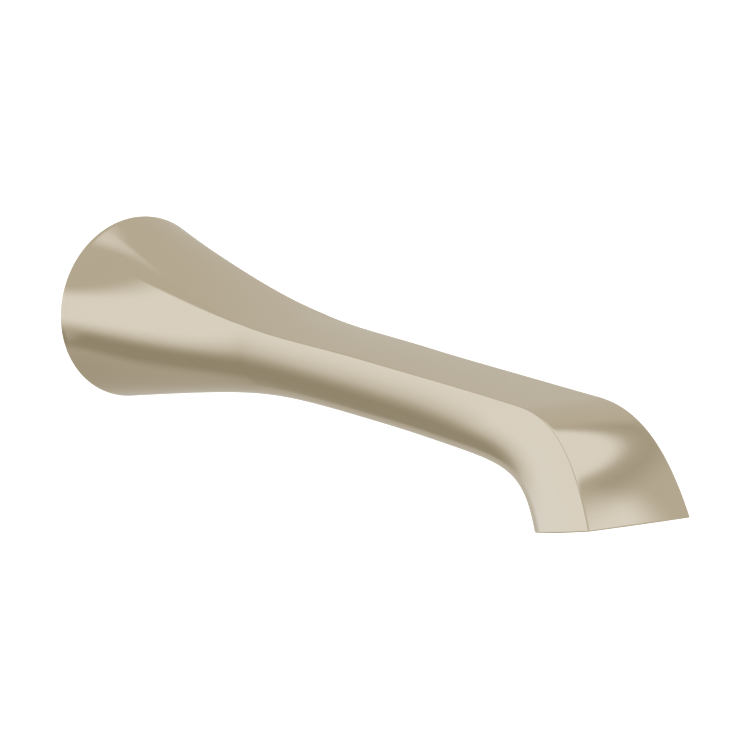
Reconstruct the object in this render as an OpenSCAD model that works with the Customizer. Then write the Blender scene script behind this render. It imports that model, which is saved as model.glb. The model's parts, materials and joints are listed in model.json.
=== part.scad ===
// Wall mounted bath spout: a cast shell that flares to a round wall flange, slides over a wall
// plate and an inlet adapter, and carries its water in an inner tube to a tip with a recessed
// aerator. Origin: centre of the wall flange, on the wall plane. The spout projects along -Y,
// +Z is up and the plane X = 0 is its mirror plane.

/* [Wall flange] */
// Diameter of the round flange where the shell meets the wall
flange_d = 50; // [49.5:0.5:52]
// Wall thickness of the cast shell
wall_t = 2.4; // [2:0.1:2.4]

/* [Arm] */
// Distance from the wall to the end of the flare
neck_y = 126; // [122:1:130]
// Half width of the arm at its neck
neck_half_w = 12; // [11.6:0.1:12.5]
// Height of the arm's flat top above the axis
neck_top = 9.1; // [9:0.1:10]
// Depth of the arm's underside below the axis
neck_bottom = 10.8; // [10.6:0.1:12]
// Distance from the wall to where the flat top starts to curve down
shoulder_y = 206.2; // [204:0.1:207]
// Distance from the wall to where the underside starts to curve down
bend_y = 160.9; // [158:0.1:164]

/* [Tip] */
// Distance from the wall to the front edge of the outlet
tip_front_y = 244.9; // [244:0.1:247]
// Height of the outlet's front edge (below the axis)
tip_front_z = -17.8; // [-19:0.1:-17.5]
// Distance from the wall to the rear edge of the outlet
tip_rear_y = 201; // [200.5:0.1:203]
// Height of the outlet's rear edge (below the axis)
tip_rear_z = -26.9; // [-28:0.1:-26.5]
// Half width of the outlet
tip_half_w = 16.5; // [16.3:0.1:17.3]

/* [Inlet] */
// Minor radius of the female G1/2 thread that screws on the supply nipple
thread_r = 9.32; // [9.3:0.01:9.4]
// Length of that thread
thread_len = 12.5; // [11.5:0.5:12.5]
// Radius of the wall plate's rim, which centres the flange
plate_r = 18.92; // [18.9:0.01:18.95]

/* [Outlet] */
// Radius of the recessed aerator's M21.5 thread
aerator_r = 10.75; // [10.5:0.05:10.8]

/* [Hidden] */
$fn = 96;
// Length by which a cutter runs past the face it opens
over = 1;
// Gap of a running fit, of a part that only sits in its place, and of two faces that meet
run_gap = 0.05;
loose_gap = 0.1;
face_gap = 0.02;

nickel = [0.75, 0.70, 0.60];
brass = [0.80, 0.66, 0.36];
steel = [0.72, 0.73, 0.75];
rubber = [0.12, 0.12, 0.13];
plastic = [0.88, 0.88, 0.86];
grey_plastic = [0.45, 0.46, 0.48];

// ================= the shell's shape =================
// Curves of the side view: cubics with control points [distance from the wall, height]. The side
// curves give a half width instead of a height.
flange_r = flange_d / 2;
bend_bottom = neck_bottom + 0.4;
bend_half_w = neck_half_w + 0.6;
// The flange's circle turns into a creased D as far as the waist, and slims from there to the neck
waist_y = 72;
waist_half_w = 13.5;
waist_run = (neck_y - waist_y) / 3;
flare_top = [[0, flange_r], [61, 8], [69, neck_top], [neck_y, neck_top]];
flare_bottom = [[0, -flange_r], [70, -neck_bottom], [74, -neck_bottom], [neck_y, -neck_bottom]];
flare_side = [[0, flange_r], [12.5, 20], [22, waist_half_w + 3.5], [waist_y, waist_half_w]];
waist_side = [[waist_y, waist_half_w], [waist_y + waist_run, waist_half_w - 0.7],
              [neck_y - waist_run, neck_half_w + 0.4], [neck_y, neck_half_w]];
hook_outer = [[shoulder_y, neck_top], [shoulder_y + 21, neck_top],
              [tip_front_y - 7.5, tip_front_z + 15], [tip_front_y, tip_front_z]];
hook_inner = [[bend_y, -bend_bottom], [bend_y + 28.5, -bend_bottom - 0.5],
              [tip_rear_y - 5.5, tip_rear_z + 14], [tip_rear_y, tip_rear_z]];
hook_side = [[0, bend_half_w], [1, bend_half_w + 1.1], [2, tip_half_w - 1.2], [3, tip_half_w]];
// The arm leaves the flare and enters the hook in their own directions, so neither joint shows
arm_run = 13;
arm_share = 0.65;
function joining(from, to) =
    [from[3], from[3] + arm_run * (from[3] - from[2]) / norm(from[3] - from[2]),
     to[0] - arm_share * (to[1] - to[0]), to[0]];
arm_top = joining(flare_top, hook_outer);
arm_bottom = joining(flare_bottom, hook_inner);
arm_side = joining(waist_side, hook_side);

function bezier(p, t) = pow(1 - t, 3) * p[0] + 3 * pow(1 - t, 2) * t * p[1]
                      + 3 * (1 - t) * t * t * p[2] + t * t * t * p[3];
function bezier_slope(p, t) = let (d = pow(1 - t, 2) * (p[1] - p[0]) + 2 * (1 - t) * t * (p[2] - p[1])
                                        + t * t * (p[3] - p[2])) d / norm(d);
function mix(a, b, t) = a + (b - a) * t;
function ease(t) = t * t * (3 - 2 * t);
// Height of a side view curve at a distance y from the wall, by halving the interval of t
function at_y(p, y, low = 0, high = 1, n = 24) =
    let (mid = (low + high) / 2)
    n == 0 ? bezier(p, mid)[1]
           : bezier(p, mid)[0] < y ? at_y(p, y, mid, high, n - 1) : at_y(p, y, low, mid, n - 1);

// A section's shape is [crown, drop, sweep, blend]. crown is the rise of the top's middle. drop and
// sweep say how far the side bulges, down from the crease and out along the underside. blend is 0
// on the wall, where the section is a circle, and 1 where it is a D with a creased flat top.
waist_shape = [1.2, 0.75, 0.65];
neck_shape = [0.5, 0.65, 0.75];
tip_shape = [1.2, 0.8, 0.35];
level = [1, 0];
// Station: [top point, bottom point, half width, shape, top curve's slope, bottom curve's slope]
function flare_station(y) =
    let (past = max(0, y - waist_y) / (neck_y - waist_y),
         shape = concat(mix(waist_shape, neck_shape, ease(past)), min(1, y / waist_y)))
    [[y, at_y(flare_top, y)], [y, at_y(flare_bottom, y)], at_y(past > 0 ? waist_side : flare_side, y),
     shape, level, level];
function arm_station(u) =
    [bezier(arm_top, u), bezier(arm_bottom, u), bezier(arm_side, u)[1], concat(neck_shape, 1), level, level];
function hook_station(u) =
    let (shape = concat(mix(neck_shape, tip_shape, ease(u)), 1))
    [bezier(hook_outer, u), bezier(hook_inner, u), bezier(hook_side, u)[1],
     shape, bezier_slope(hook_outer, u), bezier_slope(hook_inner, u)];

// A section's half outline runs from the top's middle round to the bottom's middle
crease_r = 0.4;
// The crease starts on the wall circle as a wide soft edge: the angle of its middle, and its arc
crease_angle = 55;
crease_arc = 22;
top_n = 5;
corner_n = 3;
side_n = 12;
function d_half(a, h, shape) =
    let (top = h - shape[0], start = top - crease_r, fall = start + h,
         side = [[a, start], [a, start - shape[1] * fall], [shape[2] * a, -h], [0, -h]])
    concat([for (i = [0 : top_n - 1]) let (x = (a - crease_r) * i / top_n) [x, h - shape[0] * pow(x / a, 2)]],
           [for (i = [0 : corner_n - 1]) let (q = 90 * i / corner_n)
                [a - crease_r + crease_r * sin(q), start + crease_r * cos(q)]],
           [for (i = [0 : side_n]) bezier(side, i / side_n)]);
circle_angles = let (high = crease_angle + crease_arc / 2, low = crease_angle - crease_arc / 2)
    concat([for (i = [0 : top_n - 1]) mix(90, high, i / top_n)],
           [for (i = [0 : corner_n - 1]) mix(high, low, i / corner_n)],
           [for (i = [0 : side_n]) mix(low, -90, i / side_n)]);
function half_section(a, h, shape) =
    let (d = d_half(a, h, shape))
    [for (i = [0 : len(d) - 1]) mix([a * cos(circle_angles[i]), h * sin(circle_angles[i])], d[i], shape[3])];
ring_n = 2 * (top_n + corner_n + side_n);
// One closed ring of 3D points. inset moves it inwards, square to the side view's curves.
function ring(st, inset = 0) =
    let (up = (st[0] - st[1]) / norm(st[0] - st[1]),
         top = st[0] - up * inset / abs(cross(up, st[4])),
         bottom = st[1] + up * inset / abs(cross(up, st[5])),
         middle = (top + bottom) / 2, half = half_section(st[2] - inset, norm(top - bottom) / 2, st[3]))
    [for (j = [0 : ring_n - 1])
        let (right = j <= ring_n / 2, p = half[right ? j : ring_n - j], c = middle + p[1] * up)
        [right ? p[0] : -p[0], -c[0], c[1]]];
// Closed solid through rings of ring_n points, from the first to the last, with flat end caps
module loft(rings) {
    count = len(rings);
    walls = [for (r = [0 : count - 2], j = [0 : ring_n - 1])
                let (a = r * ring_n + j, b = r * ring_n + (j + 1) % ring_n)
                each [[a, b, a + ring_n], [b, b + ring_n, a + ring_n]]];
    start = [for (j = [1 : ring_n - 2]) [0, j + 1, j]];
    last = (count - 1) * ring_n;
    end = [for (j = [1 : ring_n - 2]) [last, last + j, last + j + 1]];
    polyhedron([for (r = rings) each r], concat(start, walls, end), convexity = 8);
}

// ================= distances from the wall =================
plate_t = 8;
recess_y = 8.6;
bulkhead_rear_y = 21.2;
bulkhead_front_y = 34;
circlip_y = 17.6;
circlip_t = 1.2;
hex_front_y = 17;
nose_end_y = 36;
socket_end_y = 50;
tube_start_y = 41;
tube_end_y = 209.5;
insert_bore_end_y = 210;
screw_y = 4.6;

// ================= radii =================
recess_r = 19;
cavity_r = 16.2;
circlip_groove_r = 17.1;
sleeve_r = 11.6;
nose_r = 10;
waterway_r = 6;
tube_r = 5.5;
tube_bore_r = 4.7;
screw_r = 2.45;
screw_hole_r = screw_r + run_gap;
gasket_in_r = 20.6;
gasket_out_r = 22.6;
gasket_t = 1.2;

// Axis along -Y, from a distance y off the wall
module turned(y) {
    translate([0, -y, 0]) rotate([90, 0, 0]) children();
}
// Axis of the waterway tube, which falls towards the outlet so that it drains
tube_fall = 0.4;
module on_tube_axis() {
    translate([0, -tube_start_y, 0]) rotate([90 + tube_fall, 0, 0]) children();
}
// Axis of the outlet: the origin is the middle of its rim's plane, +Z points up into the tip
outlet_tilt = atan2(tip_front_z - tip_rear_z, tip_front_y - tip_rear_y);
outlet_y = (tip_front_y + tip_rear_y) / 2;
outlet_z = (tip_front_z + tip_rear_z) / 2;
module on_outlet_axis(h = 0) {
    translate([0, -outlet_y, outlet_z]) rotate([-outlet_tilt, 0, 0]) translate([0, 0, h]) children();
}
module pipe(r_out, r_in, len) {
    difference() {
        cylinder(r = r_out, h = len);
        translate([0, 0, -over]) cylinder(r = r_in, h = len + 2 * over);
    }
}
module o_ring(r_mid, r_cord) {
    rotate_extrude() translate([r_mid, 0]) circle(r = r_cord, $fn = 32);
}
// Cuts a ring shaped groove, widening a bore of radius r_in to r_out
module groove(r_in, r_out, len) {
    pipe(r_out, r_in - over, len);
}

// ================= fixed to the wall =================
plate_bore_r = 13.1;
plate_chamfer = 0.8;
module wall_plate() color(steel) {
    turned(0) rotate_extrude() polygon([[plate_bore_r, 0], [plate_r, 0], [plate_r, plate_t - plate_chamfer],
                                        [plate_r - plate_chamfer, plate_t], [plate_bore_r, plate_t]]);
}

adapter_r = 13;
hex_across_flats = 27;
relief_r = 9.9;
washer_t = 2;
washer_in_r = 6.5;
relief_end_y = thread_len + washer_t + 2 * loose_gap;
o_ring_cord_r = 0.9;
o_ring_groove_r = nose_r - 2 * o_ring_cord_r - face_gap;
o_ring_groove_w = 2.4;
rear_o_ring_y = 24;
front_o_ring_y = 31;
nose_chamfer = 1;
module inlet_adapter() color(brass) {
    difference() {
        union() {
            turned(0) cylinder(r = adapter_r, h = plate_t);
            turned(plate_t) cylinder(d = hex_across_flats / cos(30), h = hex_front_y - plate_t, $fn = 6);
            turned(0) rotate_extrude()
                polygon([[0, over], [nose_r, over], [nose_r, nose_end_y - nose_chamfer],
                         [nose_r - nose_chamfer, nose_end_y], [0, nose_end_y]]);
        }
        turned(-over) cylinder(r = thread_r, h = thread_len + over);
        turned(thread_len) cylinder(r = relief_r, h = relief_end_y - thread_len);
        turned(thread_len) cylinder(r = waterway_r, h = nose_end_y);
        for (y = [rear_o_ring_y, front_o_ring_y])
            turned(y - o_ring_groove_w / 2) groove(o_ring_groove_r + over, nose_r + over, o_ring_groove_w);
    }
}
module inlet_washer() color(rubber) {
    turned(thread_len + loose_gap) pipe(relief_r - loose_gap, washer_in_r, washer_t);
}
module adapter_o_ring_rear() color(rubber) {
    turned(rear_o_ring_y) o_ring(o_ring_groove_r + o_ring_cord_r, o_ring_cord_r);
}
module adapter_o_ring_front() color(rubber) {
    turned(front_o_ring_y) o_ring(o_ring_groove_r + o_ring_cord_r, o_ring_cord_r);
}

// ================= the spout that slides over them =================
flare_steps = 21;
arm_steps = 5;
hook_steps = 16;
module spout_body() color(nickel) {
    outside = concat([for (i = [0 : flare_steps - 1]) ring(flare_station(neck_y * i / flare_steps))],
                     [for (i = [0 : arm_steps - 1]) ring(arm_station(i / arm_steps))],
                     [for (i = [0 : hook_steps]) ring(hook_station(i / hook_steps))]);
    inside = concat([for (i = [hook_steps : -1 : 0]) ring(hook_station(i / hook_steps), wall_t)],
                    [for (i = [arm_steps - 1 : -1 : 0]) ring(arm_station(i / arm_steps), wall_t)],
                    [for (i = [flare_steps - 1 : -1 : 0])
                        ring(flare_station(mix(bulkhead_front_y, neck_y, i / flare_steps)), wall_t)]);
    difference() {
        loft(concat(outside, inside));
        turned(-over) cylinder(r = recess_r, h = recess_y + over);
        turned(recess_y - over) cylinder(r = cavity_r, h = bulkhead_rear_y - recess_y + over);
        turned(circlip_y - run_gap) cylinder(r = circlip_groove_r, h = circlip_t + 2 * run_gap);
        turned(bulkhead_rear_y - over)
            cylinder(r = sleeve_r + run_gap, h = bulkhead_front_y - bulkhead_rear_y + 2 * over);
        turned(-over) groove(gasket_in_r + over, gasket_out_r, gasket_t + over);
        translate([0, -screw_y, -flange_r - over])
            cylinder(r = screw_hole_r, h = flange_r - recess_r + 2 * over);
    }
}
module wall_gasket() color(rubber) {
    turned(0) pipe(gasket_out_r - run_gap, gasket_in_r + run_gap, gasket_t);
}

socket_bore_r = nose_r + run_gap;
socket_neck_r = 8.2;
socket_neck_y = 38;
socket_flange_y = circlip_y + circlip_t;
socket_bore_end_y = nose_end_y + 1.5;
tube_ring_cord_r = 0.7;
tube_groove_r = tube_r + 2 * tube_ring_cord_r + face_gap;
tube_groove_w = 1.8;
inlet_ring_at = 5;
outlet_ring_at = 165.5;
// Bore that takes the tube's end, with the groove of its O-ring, in the tube's own frame
module tube_socket_bore(from, to, ring_at) {
    translate([0, 0, from]) cylinder(r = tube_r + face_gap, h = to - from);
    translate([0, 0, ring_at - tube_groove_w / 2]) cylinder(r = tube_groove_r, h = tube_groove_w);
}
module inlet_socket() color(brass) {
    difference() {
        turned(0) rotate_extrude() polygon([[0, socket_flange_y], [cavity_r - loose_gap, socket_flange_y],
            [cavity_r - loose_gap, bulkhead_rear_y], [sleeve_r, bulkhead_rear_y], [sleeve_r, socket_neck_y],
            [socket_neck_r, socket_neck_y], [socket_neck_r, socket_end_y], [0, socket_end_y]]);
        turned(socket_flange_y - over)
            cylinder(r = socket_bore_r, h = socket_bore_end_y - socket_flange_y + over);
        turned(socket_bore_end_y - over)
            cylinder(r = tube_bore_r, h = tube_start_y - socket_bore_end_y + 2 * over);
        on_tube_axis() tube_socket_bore(0, socket_end_y - tube_start_y + over, inlet_ring_at);
    }
}
circlip_in_r = 15;
circlip_gap = 6;
circlip_lug_r = 2.2;
circlip_eye_r = 0.8;
module socket_circlip() color(steel) {
    turned(circlip_y) difference() {
        union() {
            pipe(circlip_groove_r - loose_gap, circlip_in_r, circlip_t);
            for (side = [-1, 1]) intersection() {
                translate([side * (circlip_gap / 2 + circlip_lug_r), -circlip_in_r, 0])
                    cylinder(r = circlip_lug_r, h = circlip_t);
                cylinder(r = circlip_in_r + over, h = circlip_t);
            }
        }
        translate([-circlip_gap / 2, -circlip_groove_r - over, -over])
            cube([circlip_gap, circlip_groove_r - circlip_in_r + circlip_lug_r + 2 * over,
                  circlip_t + 2 * over]);
        for (side = [-1, 1]) translate([side * (circlip_gap / 2 + circlip_lug_r), -circlip_in_r, -over])
            cylinder(r = circlip_eye_r, h = circlip_t + 2 * over, $fn = 24);
    }
}
module waterway_tube() color(steel) {
    on_tube_axis() translate([0, 0, face_gap]) pipe(tube_r, tube_bore_r, tube_end_y - tube_start_y);
}
module tube_o_ring(at) {
    on_tube_axis() translate([0, 0, at]) o_ring(tube_r + face_gap + tube_ring_cord_r, tube_ring_cord_r);
}
module tube_o_ring_inlet() color(rubber) {
    tube_o_ring(inlet_ring_at);
}
module tube_o_ring_outlet() color(rubber) {
    tube_o_ring(outlet_ring_at);
}

// ================= outlet =================
// Heights are along the outlet's axis, above the plane of its rim
insert_gap = 0.2;
insert_top = 0.08;
insert_bottom = 0.965;
insert_steps = 10;
tube_bore_run = 50;
housing_h = 2.2;
seat_h = 10;
ceiling_h = 11.8;
chamber_r = 6.5;
chamber_top_h = 17.5;
passage_r = 4.4;
passage_h = 15;
module outlet_insert() color(plastic) {
    // Where the tube's bore ends, and where the passage meets the chamber's axis
    from = [insert_bore_end_y, -(insert_bore_end_y - tube_start_y) * tan(tube_fall)];
    to = [outlet_y - passage_h * sin(outlet_tilt), outlet_z + passage_h * cos(outlet_tilt)];
    slope = atan2(from[1] - to[1], to[0] - from[0]);
    difference() {
        loft([for (i = [0 : insert_steps])
                ring(hook_station(mix(insert_top, insert_bottom, i / insert_steps)), wall_t + insert_gap)]);
        on_tube_axis() tube_socket_bore(tube_end_y - tube_start_y - tube_bore_run,
                                        insert_bore_end_y - tube_start_y, outlet_ring_at);
        translate([0, -from[0], from[1]]) {
            sphere(r = passage_r);
            rotate([90 + slope, 0, 0]) cylinder(r = passage_r, h = norm(to - from));
        }
        on_outlet_axis(ceiling_h - over) cylinder(r = chamber_r, h = chamber_top_h - ceiling_h + over);
        on_outlet_axis(-over) cylinder(r = aerator_r + run_gap, h = ceiling_h + over);
    }
}

// ================= set screw =================
hex_key = 2.5;
pad_t = 0.8;
pad_r = 1.9;
pad_gap = 0.01;
pad_top_z = -plate_r - face_gap;
screw_top_z = pad_top_z - pad_t - pad_gap;
screw_len = 3.5;
socket_depth = 1.7;
module set_screw_pad() color(plastic) {
    translate([0, -screw_y, pad_top_z - pad_t]) cylinder(r = pad_r, h = pad_t, $fn = 48);
}
module set_screw() color(steel) {
    translate([0, -screw_y, screw_top_z - screw_len]) difference() {
        cylinder(r = screw_r, h = screw_len);
        translate([0, 0, -over]) cylinder(d = hex_key / cos(30), h = socket_depth + over, $fn = 6);
    }
}

// ================= aerator =================
core_r = 9.3;
straightener_h = 3;
screen_h = 5.4;
diffuser_h = 5.9;
diffuser_top_h = 8.6;
seal_in_r = 7.7;
seal_gap = 0.3;
// The housing's lip under the straightener, and the key notches cut in it
lip_w = 0.8;
notch_n = 6;
notch_w = 1.6;
notch_h = 1.2;
notch_reach = 3;
module aerator_washer() color(rubber) {
    on_outlet_axis(seat_h + face_gap)
        pipe(aerator_r - seal_gap, seal_in_r, ceiling_h - seat_h - 2 * face_gap);
}
module aerator_housing() color(grey_plastic) {
    on_outlet_axis(housing_h) difference() {
        cylinder(r = aerator_r, h = seat_h - housing_h);
        translate([0, 0, -over]) cylinder(r = core_r - lip_w, h = seat_h);
        translate([0, 0, straightener_h - housing_h]) cylinder(r = core_r, h = seat_h);
        for (i = [0 : notch_n - 1]) rotate([0, 0, 360 / notch_n * i])
            translate([core_r - over, -notch_w / 2, -over]) cube([notch_reach, notch_w, over + notch_h]);
    }
}
diffuser_floor = 1.2;
diffuser_wall = 1;
diffuser_hub_r = 3;
jet_r = 0.6;
// Rings of jets: [radius, number of jets]
jet_rings = [[5, 10], [7.2, 16]];
module aerator_diffuser() color(plastic) {
    on_outlet_axis(diffuser_h) difference() {
        cylinder(r = core_r - face_gap, h = diffuser_top_h - diffuser_h);
        translate([0, 0, diffuser_floor])
            pipe(core_r - diffuser_wall, diffuser_hub_r, over + diffuser_top_h - diffuser_h);
        for (jets = jet_rings, i = [0 : jets[1] - 1]) rotate([0, 0, 360 / jets[1] * i])
            translate([jets[0], 0, -over]) cylinder(r = jet_r, h = diffuser_floor + 2 * over, $fn = 24);
    }
}
mesh_pitch = 1.9;
mesh_hole = 1.3;
mesh_count = 4;
mesh_rim = 0.5;
module aerator_screen() color(steel) {
    on_outlet_axis(screen_h) difference() {
        cylinder(r = core_r - face_gap, h = diffuser_h - screen_h);
        for (i = [-mesh_count : mesh_count], j = [-mesh_count : mesh_count])
            if (norm([i, j]) * mesh_pitch + mesh_hole < core_r - mesh_rim)
                translate([i * mesh_pitch - mesh_hole / 2, j * mesh_pitch - mesh_hole / 2, -over])
                    cube([mesh_hole, mesh_hole, 3 * over]);
    }
}
cell_pitch = 3.5;
cell_across_flats = 2.9;
cell_rings = 2;
module flow_straightener() color(grey_plastic) {
    on_outlet_axis(straightener_h) difference() {
        cylinder(r = core_r - face_gap, h = screen_h - straightener_h);
        for (i = [-cell_rings : cell_rings], j = [-cell_rings : cell_rings]) if (abs(i + j) <= cell_rings)
            translate([cell_pitch * (i + j / 2), cell_pitch * j * sin(60), -over])
                rotate([0, 0, 30]) cylinder(d = cell_across_flats / cos(30), h = 5 * over, $fn = 6);
    }
}

wall_plate();
inlet_adapter();
inlet_washer();
adapter_o_ring_rear();
adapter_o_ring_front();
spout_body();
wall_gasket();
inlet_socket();
socket_circlip();
waterway_tube();
tube_o_ring_inlet();
tube_o_ring_outlet();
outlet_insert();
set_screw_pad();
set_screw();
aerator_washer();
aerator_housing();
aerator_diffuser();
aerator_screen();
flow_straightener();
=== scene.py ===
import json
import math
import bmesh
import bpy
import numpy as np
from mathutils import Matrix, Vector

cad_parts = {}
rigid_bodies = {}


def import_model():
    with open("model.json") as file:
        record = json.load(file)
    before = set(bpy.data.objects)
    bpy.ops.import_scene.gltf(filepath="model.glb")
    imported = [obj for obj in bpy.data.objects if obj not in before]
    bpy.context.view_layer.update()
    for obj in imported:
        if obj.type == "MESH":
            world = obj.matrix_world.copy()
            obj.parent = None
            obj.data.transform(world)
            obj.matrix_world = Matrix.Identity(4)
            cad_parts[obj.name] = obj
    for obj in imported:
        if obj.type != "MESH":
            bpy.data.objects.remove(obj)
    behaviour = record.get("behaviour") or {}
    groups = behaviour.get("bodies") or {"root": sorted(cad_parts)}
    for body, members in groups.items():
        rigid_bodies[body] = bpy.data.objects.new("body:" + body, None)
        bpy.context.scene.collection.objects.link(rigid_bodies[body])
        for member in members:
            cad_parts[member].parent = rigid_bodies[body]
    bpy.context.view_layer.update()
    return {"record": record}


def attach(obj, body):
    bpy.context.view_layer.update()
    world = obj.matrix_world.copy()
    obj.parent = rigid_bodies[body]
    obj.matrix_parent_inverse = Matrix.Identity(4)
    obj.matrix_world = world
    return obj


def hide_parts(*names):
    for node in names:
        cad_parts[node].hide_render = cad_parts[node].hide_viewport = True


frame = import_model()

MM = 0.001

# ---------------------------------------------------------------- the spout's shape, in millimetres
# A side view point is [distance from the wall, height]. x is across, +Z up, the wall is y = 0.
FLANGE_R = 25
WALL_T = 2.4
WAIST_Y = 72
WAIST_HALF_W = 13.5
NECK_Y = 126
NECK_HALF_W = 12
NECK_TOP = 9.1
NECK_BOTTOM = 10.8
SHOULDER_Y = 206.2
BEND_Y = 160.9
BEND_BOTTOM = NECK_BOTTOM + 0.4
BEND_HALF_W = NECK_HALF_W + 0.6
TIP_FRONT = (244.9, -17.8)
TIP_REAR = (201, -26.9)
TIP_HALF_W = 16.5
WAIST_RUN = (NECK_Y - WAIST_Y) / 3
FLARE_TOP = [[0, FLANGE_R], [61, 8], [69, NECK_TOP], [NECK_Y, NECK_TOP]]
FLARE_BOTTOM = [[0, -FLANGE_R], [70, -NECK_BOTTOM], [74, -NECK_BOTTOM], [NECK_Y, -NECK_BOTTOM]]
FLARE_SIDE = [[0, FLANGE_R], [12.5, 20], [22, WAIST_HALF_W + 3.5], [WAIST_Y, WAIST_HALF_W]]
WAIST_SIDE = [[WAIST_Y, WAIST_HALF_W], [WAIST_Y + WAIST_RUN, WAIST_HALF_W - 0.7],
              [NECK_Y - WAIST_RUN, NECK_HALF_W + 0.4], [NECK_Y, NECK_HALF_W]]
HOOK_OUTER = [[SHOULDER_Y, NECK_TOP], [SHOULDER_Y + 21, NECK_TOP],
              [TIP_FRONT[0] - 7.5, TIP_FRONT[1] + 15], TIP_FRONT]
HOOK_INNER = [[BEND_Y, -BEND_BOTTOM], [BEND_Y + 28.5, -BEND_BOTTOM - 0.5],
              [TIP_REAR[0] - 5.5, TIP_REAR[1] + 14], TIP_REAR]
HOOK_SIDE = [[0, BEND_HALF_W], [1, BEND_HALF_W + 1.1], [2, TIP_HALF_W - 1.2], [3, TIP_HALF_W]]
ARM_RUN = 13
ARM_SHARE = 0.65
WAIST_SHAPE = (1.2, 0.75, 0.65)
NECK_SHAPE = (0.5, 0.65, 0.75)
TIP_SHAPE = (1.2, 0.8, 0.35)
CREASE_R = 0.4
CREASE_ANGLE = 55
CREASE_ARC = 22
TOP_N, CORNER_N, SIDE_N = 18, 14, 54
LEVEL = np.array([1.0, 0.0])


def bezier(p, t):
    p = np.array(p, float)
    return (1 - t) ** 3 * p[0] + 3 * (1 - t) ** 2 * t * p[1] + 3 * (1 - t) * t * t * p[2] + t ** 3 * p[3]


def bezier_slope(p, t):
    p = np.array(p, float)
    d = (1 - t) ** 2 * (p[1] - p[0]) + 2 * (1 - t) * t * (p[2] - p[1]) + t * t * (p[3] - p[2])
    return d / np.linalg.norm(d)


def mix(a, b, t):
    return np.array(a, float) + (np.array(b, float) - np.array(a, float)) * t


def height_at(p, y):
    """Height of a side view curve at a distance y from the wall."""
    low, high = 0.0, 1.0
    for _ in range(40):
        mid = (low + high) / 2
        if bezier(p, mid)[0] < y:
            low = mid
        else:
            high = mid
    return bezier(p, low)[1]


def joining(before, after):
    """The arm's curve, which leaves the flare and enters the hook in their own directions."""
    before, after = np.array(before, float), np.array(after, float)
    way = (before[3] - before[2]) / np.linalg.norm(before[3] - before[2])
    return [before[3], before[3] + ARM_RUN * way, after[0] - ARM_SHARE * (after[1] - after[0]), after[0]]


ARM_TOP = joining(FLARE_TOP, HOOK_OUTER)
ARM_BOTTOM = joining(FLARE_BOTTOM, HOOK_INNER)
ARM_SIDE = joining(WAIST_SIDE, HOOK_SIDE)


def ease(t):
    return t * t * (3 - 2 * t)


def flare_station(y):
    past = max(0.0, y - WAIST_Y) / (NECK_Y - WAIST_Y)
    return (np.array([y, height_at(FLARE_TOP, y)]), np.array([y, height_at(FLARE_BOTTOM, y)]),
            height_at(WAIST_SIDE if past > 0 else FLARE_SIDE, y), mix(WAIST_SHAPE, NECK_SHAPE, ease(past)),
            min(1.0, y / WAIST_Y), LEVEL, LEVEL)


def arm_station(u):
    return bezier(ARM_TOP, u), bezier(ARM_BOTTOM, u), bezier(ARM_SIDE, u)[1], NECK_SHAPE, 1.0, LEVEL, LEVEL


def hook_station(u):
    return (bezier(HOOK_OUTER, u), bezier(HOOK_INNER, u), bezier(HOOK_SIDE, u)[1],
            mix(NECK_SHAPE, TIP_SHAPE, ease(u)), 1.0,
            bezier_slope(HOOK_OUTER, u), bezier_slope(HOOK_INNER, u))


def d_half(a, h, shape):
    """Half outline of the finished D: crowned top, rounded crease, side sweeping in to the keel."""
    crown, drop, sweep = shape
    lean = math.atan(2 * crown / (a - CREASE_R))
    edge = a - CREASE_R + CREASE_R * math.sin(lean)
    start = h - crown - CREASE_R * math.cos(lean)
    fall = start + h
    side = [[a, start], [a, start - drop * fall], [sweep * a, -h], [0, -h]]
    points = [[edge * i / TOP_N, h - crown * (i / TOP_N) ** 2] for i in range(TOP_N)]
    for i in range(CORNER_N):
        q = lean + (math.pi / 2 - lean) * i / CORNER_N
        points.append([a - CREASE_R + CREASE_R * math.sin(q), start + CREASE_R * math.cos(q)])
    points += [bezier(side, i / SIDE_N) for i in range(SIDE_N + 1)]
    return np.array(points)


HIGH_ANGLE = CREASE_ANGLE + CREASE_ARC / 2
LOW_ANGLE = CREASE_ANGLE - CREASE_ARC / 2
ANGLES = np.radians([90 + (HIGH_ANGLE - 90) * i / TOP_N for i in range(TOP_N)]
                    + [HIGH_ANGLE - CREASE_ARC * i / CORNER_N for i in range(CORNER_N)]
                    + [LOW_ANGLE - (LOW_ANGLE + 90) * i / SIDE_N for i in range(SIDE_N + 1)])


def ring(station, inset=0.0):
    """One closed ring of 3D points in millimetres. inset moves it inwards, square to the curves."""
    top, bottom, half_w, shape, blend, top_slope, bottom_slope = station
    up = (top - bottom) / np.linalg.norm(top - bottom)
    top = top - up * inset / abs(up[0] * top_slope[1] - up[1] * top_slope[0])
    bottom = bottom + up * inset / abs(up[0] * bottom_slope[1] - up[1] * bottom_slope[0])
    middle, h, a = (top + bottom) / 2, np.linalg.norm(top - bottom) / 2, half_w - inset
    ellipse = np.stack([a * np.cos(ANGLES), h * np.sin(ANGLES)], axis=1)
    half = mix(ellipse, d_half(a, h, shape), blend)
    side = middle + half[:, 1:] * up
    right = np.stack([half[:, 0], -side[:, 0], side[:, 1]], axis=1)
    return np.concatenate([right, right[-2:0:-1] * [-1, 1, 1]])


def circle(r, y):
    """Ring of the same count as the shell's, round the inlet's axis, for its machined back."""
    full = np.concatenate([ANGLES, math.pi - ANGLES[-2:0:-1]])
    return np.stack([r * np.cos(full), np.full(len(full), -float(y)), r * np.sin(full)], axis=1)


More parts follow.
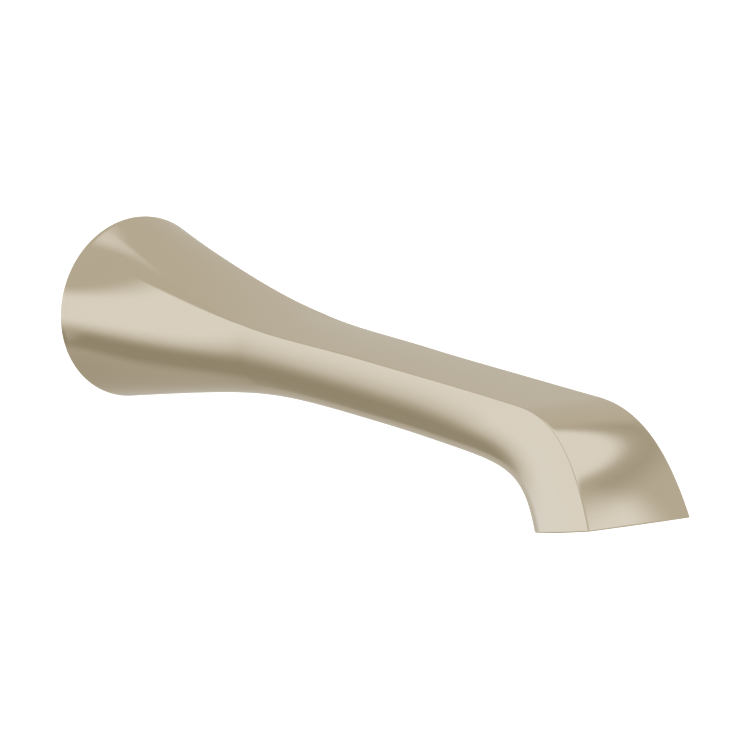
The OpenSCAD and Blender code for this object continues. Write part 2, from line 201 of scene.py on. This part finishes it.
def rounded(before, corner, after, radius, steps=5):
    """Rings that round a corner between three rings, by a quarter circle of about this radius."""
    back = before - corner
    ahead = after - corner
    back /= np.linalg.norm(back, axis=1, keepdims=True)
    ahead /= np.linalg.norm(ahead, axis=1, keepdims=True)
    centre = corner + (back + ahead) * radius
    out = []
    for i in range(steps + 1):
        q = math.pi / 2 * i / steps
        out.append(centre - ahead * radius * math.cos(q) - back * radius * math.sin(q))
    return out


# ---------------------------------------------------------------- mesh helpers
def mesh_piece(name, vertices, faces, smooth_angle=35.0):
    mesh = bpy.data.meshes.new(name)
    mesh.from_pydata([tuple(v) for v in np.asarray(vertices) * MM], [], faces)
    mesh.validate()
    bm = bmesh.new()
    bm.from_mesh(mesh)
    bmesh.ops.recalc_face_normals(bm, faces=bm.faces)
    bm.to_mesh(mesh)
    bm.free()
    mesh.shade_smooth()
    mesh.set_sharp_from_angle(angle=math.radians(smooth_angle))
    piece = bpy.data.objects.new(name, mesh)
    bpy.context.scene.collection.objects.link(piece)
    return piece


def loop_of_rings(rings):
    """Vertices and quads of a closed sleeve: each ring joins the next, and the last the first."""
    count, n = len(rings), len(rings[0])
    faces = []
    for r in range(count):
        for j in range(n):
            a, b = r * n + j, r * n + (j + 1) % n
            c, d = ((r + 1) % count) * n + (j + 1) % n, ((r + 1) % count) * n + j
            faces.append((a, b, c, d))
    return np.concatenate(rings), faces


def capped_rings(rings):
    """Vertices and faces of a solid of revolution: each ring joins the next, and both ends are closed."""
    count, n = len(rings), len(rings[0])
    faces = [(r * n + j, r * n + (j + 1) % n, (r + 1) * n + (j + 1) % n, (r + 1) * n + j)
             for r in range(count - 1) for j in range(n)]
    faces += [tuple(range(n)), tuple(range((count - 1) * n, count * n))]
    return np.concatenate(rings), faces


# ---------------------------------------------------------------- camera
AZIMUTH, ELEVATION = math.radians(33.92), math.radians(11.76)
LENS_RATIO = 40
SENSOR = 36
DISTANCE = 8.111
AIM_RIGHT, AIM_UP, AIM_BACK = 0.0653, -0.0189, 0.097
camera_data = bpy.data.cameras.new("camera")
camera = bpy.data.objects.new("camera", camera_data)
bpy.context.scene.collection.objects.link(camera)
bpy.context.scene.camera = camera
right = Vector((math.cos(AZIMUTH), -math.sin(AZIMUTH), 0))
back = Vector((-math.sin(AZIMUTH) * math.cos(ELEVATION), -math.cos(AZIMUTH) * math.cos(ELEVATION),
               math.sin(ELEVATION)))
up = back.cross(right)
aim = right * AIM_RIGHT + up * AIM_UP + back * AIM_BACK
camera_data.sensor_width = SENSOR
camera_data.lens = SENSOR * LENS_RATIO
camera_data.clip_start, camera_data.clip_end = 0.1, 50
camera.rotation_mode = "QUATERNION"
camera.rotation_quaternion = (-back).to_track_quat("-Z", "Y")
camera.location = aim + back * DISTANCE

# ---------------------------------------------------------------- spout shell
# The machined back, as [radius, distance from the wall]: from the sleeve's front to the gasket's groove
SLEEVE_R = 11.65
CAVITY_R = 16.2
CIRCLIP_GROOVE_R = 17.1
RECESS_R = 19
GASKET_IN_R, GASKET_OUT_R, GASKET_T = 20.6, 22.6, 1.2
BULKHEAD_FRONT_Y, BULKHEAD_REAR_Y = 34, 21.2
CIRCLIP_FRONT_Y, CIRCLIP_REAR_Y = 18.85, 17.55
RECESS_Y = 8.6
FLARE_STEPS, ARM_STEPS, HOOK_STEPS = 105, 14, 70
LIP_R = 0.35
outside = [ring(flare_station(LIP_R + (NECK_Y - LIP_R) * i / FLARE_STEPS)) for i in range(1, FLARE_STEPS)]
outside += [ring(arm_station(i / ARM_STEPS)) for i in range(ARM_STEPS)]
outside += [ring(hook_station(i / HOOK_STEPS)) for i in range(HOOK_STEPS)]
tip_edge, tip_inner = ring(hook_station(1)), ring(hook_station(1), WALL_T)
before_tip, before_inner = ring(hook_station(0.99)), ring(hook_station(0.99), WALL_T)
inside = [ring(hook_station(i / 20), WALL_T) for i in range(19, -1, -1)]
inside += [ring(arm_station(i / 3), WALL_T) for i in (2, 1)]
inside += [ring(flare_station(BULKHEAD_FRONT_Y + (NECK_Y - BULKHEAD_FRONT_Y) * i / 12), WALL_T)
           for i in range(12, -1, -1)]
rings = rounded(circle(20, 0), ring(flare_station(0)), ring(flare_station(2)), LIP_R)
rings += outside
rings += rounded(before_tip, tip_edge, tip_inner, LIP_R)
rings += rounded(tip_edge, tip_inner, before_inner, 0.25)
rings += inside
PROFILE = [(SLEEVE_R, BULKHEAD_FRONT_Y), (SLEEVE_R, BULKHEAD_REAR_Y), (CAVITY_R, BULKHEAD_REAR_Y),
           (CAVITY_R, CIRCLIP_FRONT_Y), (CIRCLIP_GROOVE_R, CIRCLIP_FRONT_Y),
           (CIRCLIP_GROOVE_R, CIRCLIP_REAR_Y), (CAVITY_R, CIRCLIP_REAR_Y), (CAVITY_R, RECESS_Y),
           (RECESS_R, RECESS_Y), (RECESS_R, 0), (GASKET_IN_R, 0), (GASKET_IN_R, GASKET_T),
           (GASKET_OUT_R, GASKET_T), (GASKET_OUT_R, 0)]
BEFORE_PROFILE, AFTER_PROFILE = (15, BULKHEAD_FRONT_Y), (24, 0)
EDGE = 0.12
for k, (r, y) in enumerate(PROFILE):
    before = np.array(PROFILE[k - 1] if k else BEFORE_PROFILE)
    after = np.array(PROFILE[k + 1] if k + 1 < len(PROFILE) else AFTER_PROFILE)
    here = np.array([r, y], float)
    for way in (before - here, after - here):
        point = here + way / np.linalg.norm(way) * EDGE
        rings.append(circle(*point))
vertices, faces = loop_of_rings(rings)
shell = mesh_piece("spout_shell", vertices, faces)
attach(shell, "spout")
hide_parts("spout_body")


# ---------------------------------------------------------------- shader nodes
class Nodes:
    """Short ways to add and join shader nodes in one tree."""

    def __init__(self, tree):
        self.tree = tree

    def put(self, socket, value):
        if isinstance(value, bpy.types.NodeSocket):
            self.tree.links.new(value, socket)
        else:
            socket.default_value = value

    def add(self, kind, *values, **settings):
        n = self.tree.nodes.new("ShaderNode" + kind)
        for key, value in settings.items():
            setattr(n, key, value)
        for i, value in enumerate(values):
            if value is not None:
                self.put(n.inputs[i], value)
        return n

    def math(self, operation, *values):
        return self.add("Math", *values, operation=operation).outputs[0]


# ---------------------------------------------------------------- materials
CLOUD_SCALE = 60
MARK_SHARE = 0.6


def finish(name, colour, metallic, roughness, pattern, scale, bump, vary, rough_vary):
    """A procedural finish. pattern is the direction of its fine marks: "along" (drawn or brushed along
    the spout), "across" (brushed across it), "turned" (rings left by a lathe) or "moulded" (even grain)."""
    m = bpy.data.materials.new(name)
    m.use_nodes = True
    n = Nodes(m.node_tree)
    shader = m.node_tree.nodes["Principled BSDF"]
    shader.inputs["Metallic"].default_value = metallic
    place = n.add("TexCoord").outputs["Object"]
    if pattern == "turned":
        x, y, z = n.add("SeparateXYZ", place).outputs
        radius = n.math("SQRT", n.math("ADD", n.math("MULTIPLY", x, x), n.math("MULTIPLY", z, z)))
        marks = n.add("TexNoise", noise_dimensions="1D")
        n.put(marks.inputs["W"], n.math("ADD", radius, y))
    else:
        stretch = {"along": (1, 0.03, 1), "across": (0.03, 1, 1), "moulded": (1, 1, 1)}[pattern]
        mapping = n.add("Mapping", place)
        mapping.inputs["Scale"].default_value = stretch
        marks = n.add("TexNoise", mapping.outputs[0])
    marks.inputs["Scale"].default_value = scale
    marks.inputs["Detail"].default_value = 3
    marks.inputs["Roughness"].default_value = 0.6
    clouds = n.add("TexNoise", place)
    clouds.inputs["Scale"].default_value = CLOUD_SCALE
    clouds.inputs["Detail"].default_value = 2
    both = n.math("ADD", n.math("MULTIPLY", marks.outputs[0], MARK_SHARE),
                  n.math("MULTIPLY", clouds.outputs[0], 1 - MARK_SHARE))
    tone = n.add("ValToRGB", both)
    tone.color_ramp.elements[0].position, tone.color_ramp.elements[1].position = 0.3, 0.7
    tone.color_ramp.elements[0].color = (*[c * (1 - vary) for c in colour], 1)
    tone.color_ramp.elements[1].color = (*[min(1, c * (1 + vary)) for c in colour], 1)
    n.put(shader.inputs["Base Color"], tone.outputs[0])
    rough = n.add("MapRange", both, 0.3, 0.7, roughness - rough_vary, roughness + rough_vary)
    n.put(shader.inputs["Roughness"], rough.outputs[0])
    relief = n.add("Bump", 1.0, bump)
    n.put(relief.inputs["Height"], marks.outputs[0])
    n.put(shader.inputs["Normal"], relief.outputs[0])
    return m


nickel = finish("nickel_finish", (0.78, 0.70, 0.56), 1.0, 0.08, "along", 5000, 4e-7, 0.01, 0.02)
FINISHES = {
    "nickel_finish": nickel,
    "bare_brass": finish("bare_brass", (0.82, 0.60, 0.27), 1.0, 0.22, "turned", 9000, 2e-6, 0.06, 0.05),
    "stainless_steel": finish("stainless_steel", (0.62, 0.61, 0.60),
                              1.0, 0.28, "turned", 7000, 2e-6, 0.05, 0.06),
    "black_rubber": finish("black_rubber", (0.022, 0.022, 0.024),
                           0.0, 0.55, "moulded", 3500, 1e-5, 0.25, 0.08),
    "white_plastic": finish("white_plastic", (0.76, 0.75, 0.72),
                            0.0, 0.42, "moulded", 2500, 4e-6, 0.02, 0.05),
    "grey_plastic": finish("grey_plastic", (0.13, 0.135, 0.145),
                           0.0, 0.38, "moulded", 2500, 5e-6, 0.08, 0.06),
}
drawn_steel = finish("drawn_steel", (0.62, 0.61, 0.60), 1.0, 0.24, "along", 4000, 1e-6, 0.05, 0.05)
shell.data.materials.append(nickel)

# ---------------------------------------------------------------- pieces made in place of CAD nodes
replaced = {"spout_body"}
SLOT = {part["node"]: part["material_slot"] for part in frame["record"]["subparts"]}


def stands_for(piece, node, body, finish_of=None):
    """The piece takes the place, body and finish of a CAD node."""
    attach(piece, body)
    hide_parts(node)
    replaced.add(node)
    piece.data.materials.clear()
    piece.data.materials.append(finish_of or FINISHES[SLOT[node]])
    return piece


def bevelled(node, body, width, finish_of=None):
    """The node's solid with its sharp edges broken, as they are on a real turned or moulded part."""
    bm = bmesh.new()
    bm.from_mesh(bpy.data.objects[node].data)
    bmesh.ops.remove_doubles(bm, verts=bm.verts, dist=1e-6)
    bmesh.ops.dissolve_limit(bm, angle_limit=math.radians(1), verts=bm.verts, edges=bm.edges)
    sharp = [e for e in bm.edges if len(e.link_faces) == 2 and e.calc_face_angle(0) > math.radians(25)]
    bmesh.ops.bevel(bm, geom=sharp, offset=width * MM, offset_type="OFFSET", segments=2, profile=0.5,
                    affect="EDGES", clamp_overlap=True)
    mesh = bpy.data.meshes.new(node + "_detail")
    bm.to_mesh(mesh)
    bm.free()
    mesh.shade_smooth()
    mesh.set_sharp_from_angle(angle=math.radians(50))
    piece = bpy.data.objects.new(node + "_detail", mesh)
    bpy.context.scene.collection.objects.link(piece)
    return stands_for(piece, node, body, finish_of)


TURNS_N = 96
TURN = np.arange(TURNS_N) / TURNS_N * 2 * math.pi


def turned_ring(radius, y):
    """Ring round the inlet's axis at a distance y from the wall. radius is a number or one per vertex."""
    return np.stack([radius * np.cos(TURN), np.full(TURNS_N, -float(y)), radius * np.sin(TURN)], axis=1)


def thread_wave(place, pitch):
    """0 to 1 across a right-handed thread, at one place along its axis, for each vertex of a ring."""
    phase = (place / pitch - TURN / (2 * math.pi)) % 1
    return np.clip((1 - np.abs(2 * phase - 1) - 0.125) / 0.75, 0, 1)


def hexagon(across_flats):
    return across_flats / 2 / np.cos((TURN % (math.pi / 3)) - math.pi / 6)


# Inlet adapter: rings from the nose's end along its outside to the wall, and back through its bore
HEX_ACROSS = 27
HEX = hexagon(HEX_ACROSS)
HEX_CORNER_R = HEX_ACROSS / math.sqrt(3)
HEX_FACE_R = 13.3
HEX_REAR_Y, HEX_FRONT_Y = 8, 17
CHAMFER, CHAMFER_N = 1.35, 6
THREAD_LEN, THREAD_PITCH, THREAD_R, THREAD_DEPTH = 12.5, 1.814, 9.34, 1.14
THREAD_LEAD_IN = 0.9
adapter = []
for y in np.linspace(0, THREAD_LEN, 90):
    ends = min(1, y / THREAD_LEAD_IN, (THREAD_LEN - y) / THREAD_LEAD_IN)
    adapter.append(turned_ring(THREAD_R + THREAD_DEPTH * thread_wave(y, THREAD_PITCH) * max(ends, 0), y))
for r, y in ((9.9, 12.6), (9.9, 14.7), (6.2, 14.7), (6, 14.9), (6, 35.8), (6.2, 36), (8.9, 36), (9.0, 35.95),
             (9.95, 35.05), (10, 34.9), (10, 32.25), (9.95, 32.2)):
    adapter.append(turned_ring(r, y))
GROOVE_R = 8.18
for middle in (31, 24):
    for r, y in ((9.95, middle + 1.2), (GROOVE_R + 0.2, middle + 1.2), (GROOVE_R, middle + 1.0),
                 (GROOVE_R, middle - 1.0), (GROOVE_R + 0.2, middle - 1.2), (9.9, middle - 1.2),
                 (10, middle - 1.3)):
        adapter.append(turned_ring(r, y))
for r, y in ((10, 17.3), (10.2, 17.02), (10.3, 17), (13.2, 17)):
    adapter.append(turned_ring(r, y))
for k in range(CHAMFER_N + 1):
    chamfer = HEX_FACE_R + (HEX_CORNER_R - HEX_FACE_R) * k / CHAMFER_N
    adapter.append(turned_ring(np.minimum(HEX, chamfer), HEX_FRONT_Y - CHAMFER * k / CHAMFER_N))
for k in range(CHAMFER_N + 1):
    chamfer = HEX_CORNER_R - (HEX_CORNER_R - HEX_FACE_R) * k / CHAMFER_N
    adapter.append(turned_ring(np.minimum(HEX, chamfer), HEX_REAR_Y + CHAMFER * (1 - k / CHAMFER_N)))
for r, y in ((13.1, 8), (13, 7.95), (13, 0.3), (12.7, 0), (10.7, 0)):
    adapter.append(turned_ring(r, y))
vertices, faces = loop_of_rings(adapter)
stands_for(mesh_piece("inlet_adapter_detail", vertices, faces, 40), "inlet_adapter", "wall_mount")

# Set screw: threaded M5 grub screw with a hexagon socket, on a vertical axis
SCREW_Y, SCREW_TOP_Z, SCREW_LEN = 4.6, -19.75, 3.5
SCREW_PITCH, SCREW_CORE_R, SCREW_THREAD_DEPTH, SCREW_FACE_R = 0.8, 2.02, 0.42, 1.75
screw = []


def screw_ring(radius, z):
    return np.stack([radius * np.cos(TURN), radius * np.sin(TURN) - SCREW_Y, np.full(TURNS_N, float(z))],
                    axis=1)


top, bottom = SCREW_TOP_Z, SCREW_TOP_Z - SCREW_LEN
screw.append(screw_ring(0.02, top))
screw.append(screw_ring(SCREW_FACE_R, top))
for z in np.linspace(top - 0.02, bottom + 0.02, 44):
    edge = SCREW_FACE_R + 0.05 + min(top - z, z - bottom)
    thread = SCREW_CORE_R + SCREW_THREAD_DEPTH * thread_wave(z, SCREW_PITCH)
    screw.append(screw_ring(np.minimum(thread, edge), z))
KEY = hexagon(2.5)
screw += [screw_ring(SCREW_FACE_R, bottom), screw_ring(np.maximum(KEY, 1.42), bottom),
          screw_ring(KEY, bottom + 0.12), screw_ring(KEY, bottom + 1.6), screw_ring(KEY * 0.96, bottom + 1.7),
          screw_ring(0.02, bottom + 1.95)]
vertices, faces = capped_rings(screw)
stands_for(mesh_piece("set_screw_detail", vertices, faces, 40), "set_screw", "screw")

# The screw's hole under the flange, cut through the shell with its outer edge broken
HOLE_R, HOLE_MOUTH_R = 2.5, 2.85
HOLE_PROFILE = ((HOLE_R, -17), (HOLE_R, -23.4), (2.62, -23.6), (HOLE_MOUTH_R, -23.95), (HOLE_MOUTH_R, -27))
cutter = mesh_piece("cutter", *capped_rings([screw_ring(r, z) for r, z in HOLE_PROFILE]))
cut = shell.modifiers.new("screw_hole", "BOOLEAN")
cut.operation, cut.solver, cut.object = "DIFFERENCE", "EXACT", cutter
bpy.context.view_layer.update()
carved = bpy.data.meshes.new_from_object(shell.evaluated_get(bpy.context.evaluated_depsgraph_get()))
shell.modifiers.clear()
shell.data = carved
shell.data.shade_smooth()
shell.data.set_sharp_from_angle(angle=math.radians(35))
shell.data.materials.clear()
shell.data.materials.append(nickel)
bpy.data.objects.remove(cutter)

bevelled("wall_plate", "wall_mount", 0.25)
bevelled("inlet_socket", "spout", 0.2)
bevelled("socket_circlip", "spout", 0.12)
bevelled("outlet_insert", "spout", 0.15)
bevelled("wall_gasket", "spout", 0.15)
bevelled("set_screw_pad", "screw_pad", 0.08)
bevelled("aerator_housing", "aerator", 0.12)
bevelled("aerator_diffuser", "aerator", 0.08)
bevelled("flow_straightener", "aerator", 0.08)
for part in frame["record"]["subparts"]:
    if part["node"] not in replaced:
        for s in bpy.data.objects[part["node"]].material_slots:
            s.material = drawn_steel if part["node"] == "waterway_tube" else FINISHES[part["material_slot"]]

# ---------------------------------------------------------------- floor and studio light
floor_mesh = bpy.data.meshes.new("floor")
FLOOR_Z, FLOOR_HALF = -0.3, 4.0
corners = [(x * FLOOR_HALF, y * FLOOR_HALF, FLOOR_Z) for x, y in ((-1, -1), (1, -1), (1, 1), (-1, 1))]
floor_mesh.from_pydata(corners, [], [(0, 1, 2, 3)])
floor = bpy.data.objects.new("floor", floor_mesh)
bpy.context.scene.collection.objects.link(floor)
pale = finish("pale_floor", (0.85, 0.85, 0.85), 0.0, 0.9, "moulded", 200, 1e-5, 0.005, 0.05)
surface = pale.node_tree.nodes["Principled BSDF"]
surface.inputs["Emission Color"].default_value = (1, 1, 1, 1)
surface.inputs["Emission Strength"].default_value = 0.75
f = Nodes(pale.node_tree)
one_sided = f.add("MixShader", f.add("NewGeometry").outputs["Backfacing"], surface.outputs[0],
                  f.add("BsdfTransparent").outputs[0])
f.put(pale.node_tree.nodes["Material Output"].inputs["Surface"], one_sided.outputs[0])
floor_mesh.materials.append(pale)
floor.visible_glossy = False

# The studio that the polished shell mirrors: a plain pale room with soft white boxes and
# grey cards, each laid over the ones before it.
# Longitude 0 is straight out from the wall, 90 is +X and 180 is behind the wall.
ROOM = (0.58, 0.55, 0.49)
WHITE = (0.88, 0.89, 0.92)
DARK = (0.36, 0.33, 0.26)
FLOOR_SHADE = (0.45, 0.42, 0.36)


def soft_panel(behind, lon_at, lat_at, half_w, half_h, edge, colour):
    """Lays a rectangle with soft edges, at a longitude and latitude in degrees, over the colour behind."""
    turned = w.math("WRAP", w.math("SUBTRACT", lon, lon_at), 180, -180)
    across = w.math("MULTIPLY", turned, math.cos(math.radians(lat_at)))
    rise = w.math("SUBTRACT", lat, lat_at)
    masks = []
    for offset, half in ((across, half_w), (rise, half_h)):
        place = w.math("ABSOLUTE", offset)
        masks.append(w.add("MapRange", place, half + edge, half - edge, 0, 1,
                           interpolation_type="SMOOTHSTEP").outputs[0])
    panel = w.add("Mix", w.math("MULTIPLY", *masks), data_type="RGBA")
    w.put(panel.inputs[6], behind if isinstance(behind, bpy.types.NodeSocket) else (*behind, 1))
    w.put(panel.inputs[7], (*colour, 1))
    return panel.outputs[2]


world = bpy.data.worlds.new("studio")
bpy.context.scene.world = world
world.use_nodes = True
w = Nodes(world.node_tree)
direction = w.add("SeparateXYZ", w.add("TexCoord").outputs["Generated"]).outputs
lon = w.math("MULTIPLY", w.math("ARCTAN2", direction[0], w.math("MULTIPLY", direction[1], -1)), 180 / math.pi)
lat = w.math("MULTIPLY", w.math("ARCSINE", direction[2]), 180 / math.pi)
floor_shade = soft_panel(ROOM, 0, -90, 180, 55, 25, FLOOR_SHADE)
overhead = soft_panel(floor_shade, 0, 90, 180, 36, 3, WHITE)
side_box = soft_panel(overhead, -140, -3, 45, 15, 7, WHITE)
low_card = soft_panel(side_box, -145, -32, 32, 8, 5, DARK)
far_box = soft_panel(low_card, 100, 5, 25, 15, 8, WHITE)
far_card = soft_panel(far_box, 100, -28, 40, 6, 5, DARK)
front_box = soft_panel(far_card, 28, 33, 14, 9, 8, WHITE)
front_card = soft_panel(front_box, 80, 48, 30, 4, 7, FLOOR_SHADE)
# The camera itself sees plain white instead of the studio
backdrop = w.add("Mix", w.add("LightPath").outputs["Is Camera Ray"], data_type="RGBA")
w.put(backdrop.inputs[6], front_card)
w.put(backdrop.inputs[7], (1, 1, 1, 1))
w.put(world.node_tree.nodes["Background"].inputs["Color"], backdrop.outputs[2])

bpy.context.scene.view_settings.view_transform = "Standard"
